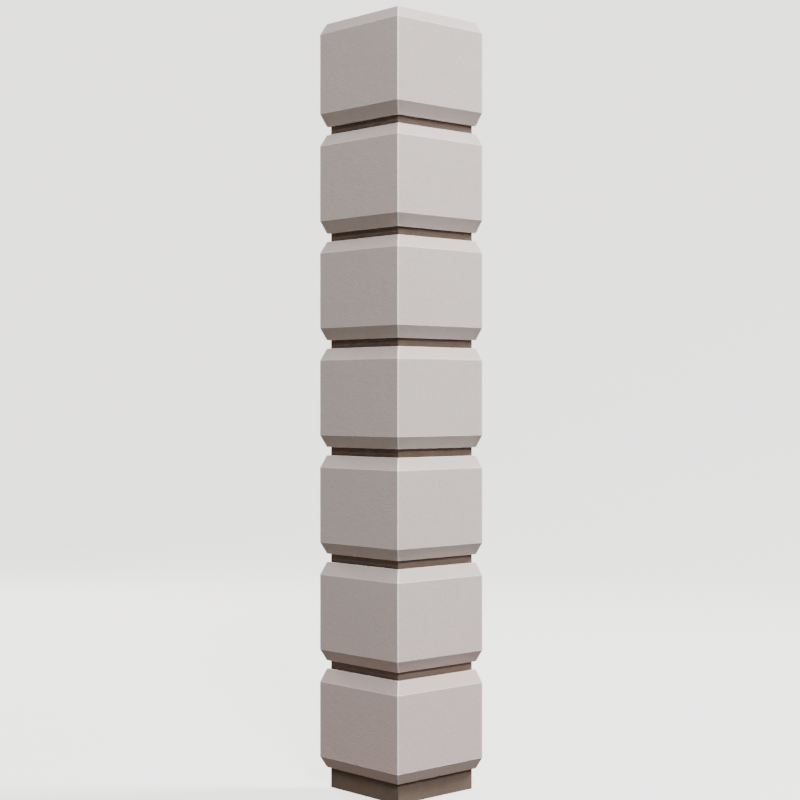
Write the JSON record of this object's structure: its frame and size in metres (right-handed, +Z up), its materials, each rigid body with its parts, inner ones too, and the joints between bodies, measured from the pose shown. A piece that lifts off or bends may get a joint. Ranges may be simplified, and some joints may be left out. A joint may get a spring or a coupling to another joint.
{
  "type": "quoin",
  "caption": "Quoin run for an outside corner of a building: plain L-shaped stone blocks, chamfered along top and bottom, spaced by open joints on a thin brown backing strip.",
  "frame": {"origin": "on the ground, in the middle of the square that holds the two wings", "axes": "+Z up along the arris; the face of one wing looks towards -Y, the face of the other towards +X, and the re-entrant back looks towards -X and +Y"},
  "size_m": [0.322, 0.322, 2.148],
  "materials": {
    "cast_stone": "matte",
    "brown_render": "matte"
  },
  "bodies": {
    "root": {"backing_strip": "brown_render", "quoin_block_1": "cast_stone", "quoin_block_2": "cast_stone", "quoin_block_3": "cast_stone", "quoin_block_4": "cast_stone", "quoin_block_5": "cast_stone", "quoin_block_6": "cast_stone", "quoin_block_7": "cast_stone"}
  },
  "joints": []
}
